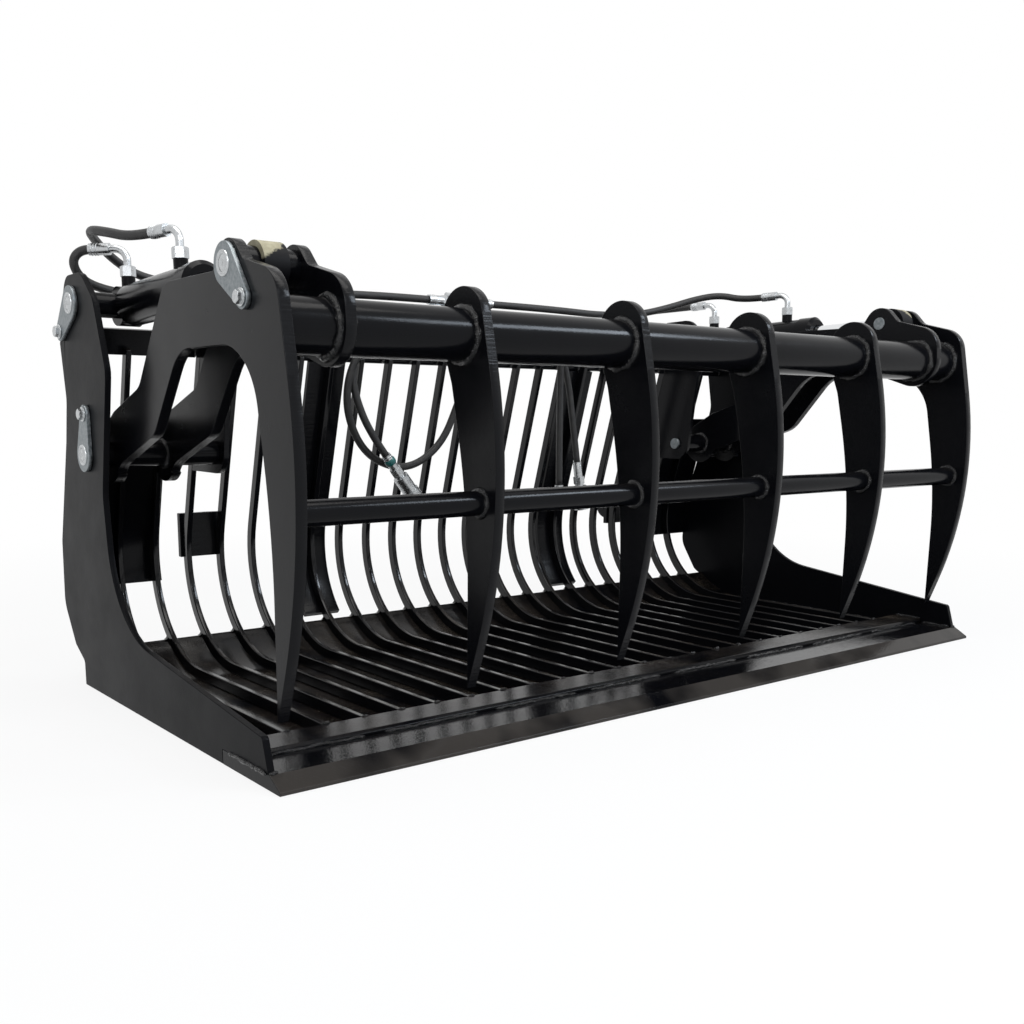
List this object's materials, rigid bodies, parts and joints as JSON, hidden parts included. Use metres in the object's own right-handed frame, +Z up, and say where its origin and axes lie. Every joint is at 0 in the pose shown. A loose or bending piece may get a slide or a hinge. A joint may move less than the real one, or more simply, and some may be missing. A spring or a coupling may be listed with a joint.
{
  "type": "rubble grapple bucket",
  "caption": "Loader bucket with a barred floor and back, thick cutting edge and a hinged grapple of curved tines closed by two hydraulic cylinders.",
  "frame": {"origin": "middle of the bounding box on the ground, under the bucket", "axes": "+X to the bucket's right seen from the front, +Y from the cutting edge to the back, +Z up"},
  "size_m": [2.0376, 1.034, 0.9202],
  "materials": {
    "black_paint": "gloss black paint over plate steel, light orange peel",
    "zinc": "bright zinc plate",
    "chrome_rod": "hard chrome, ground",
    "hose_rubber": "matt black rubber with a fine cloth weave",
    "bare_steel": "turned steel"
  },
  "bodies": {
    "root": {"cutting_edge": "black_paint", "front_strip": "black_paint", "floor_plate": "black_paint", "grid_bars": "black_paint", "top_beam": "black_paint", "beam_end_plate_left": "black_paint", "beam_end_plate_right": "black_paint", "side_plate_left": "black_paint", "side_plate_right": "black_paint", "inner_hinge_plate_left": "black_paint", "inner_hinge_plate_right": "black_paint", "corner_panel_left": "black_paint", "corner_panel_right": "black_paint", "pivot_pin_left": "zinc", "pivot_pin_right": "zinc", "base_pin_left": "zinc", "base_pin_right": "zinc", "hitch_hook_left": "black_paint", "hitch_hook_right": "black_paint", "hitch_lug_left": "black_paint", "hitch_lug_right": "black_paint", "barrel_eye_spacers": "black_paint", "side_plate_flag_bolts": "zinc", "hose_block": "zinc", "hose_left_rod": "hose_rubber", "hose_left_base": "hose_rubber", "hose_right_rod": "hose_rubber", "hose_right_base": "hose_rubber", "supply_hose_1": "hose_rubber", "supply_hose_2": "hose_rubber", "supply_hose_3": "hose_rubber", "quick_coupler_1": "zinc", "quick_coupler_2": "zinc", "hose_cap": "zinc"},
    "grapple": {"end_tine_left": "black_paint", "end_tine_right": "black_paint", "inner_arm_left": "black_paint", "inner_arm_right": "black_paint", "tine_1": "black_paint", "tine_2": "black_paint", "tine_3": "black_paint", "tine_4": "black_paint", "torque_tube": "black_paint", "lower_tube": "black_paint", "pivot_tube_left": "black_paint", "pivot_tube_right": "black_paint", "upper_pin_left": "zinc", "upper_pin_right": "zinc", "rod_eye_spacers": "black_paint", "arm_flag_bolts": "zinc"},
    "barrel_left": {"cylinder_barrel_left": "black_paint", "cylinder_gland_left": "black_paint", "cylinder_elbows_left": "zinc"},
    "rod_left": {"cylinder_rod_left": "chrome_rod", "cylinder_piston_left": "bare_steel"},
    "barrel_right": {"cylinder_barrel_right": "black_paint", "cylinder_gland_right": "black_paint", "cylinder_elbows_right": "zinc"},
    "rod_right": {"cylinder_rod_right": "chrome_rod", "cylinder_piston_right": "bare_steel"}
  },
  "joints": [
    {"name": "grapple_hinge", "type": "hinge", "parent": "root", "child": "grapple", "pos_m": [0, 0.249, 0.483], "axis": [-1, 0, 0], "range_deg": [-3, 30]},
    {"name": "barrel_swing_left", "type": "hinge", "parent": "root", "child": "barrel_left", "pos_m": [-0.889, 0.283, 0.773], "axis": [-1, 0, 0], "range_deg": [-3.5, 33], "deforming": ["hose_left_rod", "hose_left_base"]},
    {"name": "rod_slide_left", "type": "slide", "parent": "barrel_left", "child": "rod_left", "axis": [0, 0.9994, -0.0339], "range_m": [-0.016, 0.153]},
    {"name": "barrel_swing_right", "type": "hinge", "parent": "root", "child": "barrel_right", "pos_m": [0.889, 0.283, 0.773], "axis": [-1, 0, 0], "range_deg": [-3.5, 33], "deforming": ["hose_right_rod", "hose_right_base"]},
    {"name": "rod_slide_right", "type": "slide", "parent": "barrel_right", "child": "rod_right", "axis": [0, 0.9994, -0.0339], "range_m": [-0.016, 0.153]}
  ],
  "couplings": [
    {"joint": "barrel_swing_left", "follows": "grapple_hinge", "ratio": 1.085},
    {"joint": "rod_slide_left", "follows": "grapple_hinge", "m_per_rad": 0.2888},
    {"joint": "barrel_swing_right", "follows": "grapple_hinge", "ratio": 1.085},
    {"joint": "rod_slide_right", "follows": "grapple_hinge", "m_per_rad": 0.2888}
  ]
}
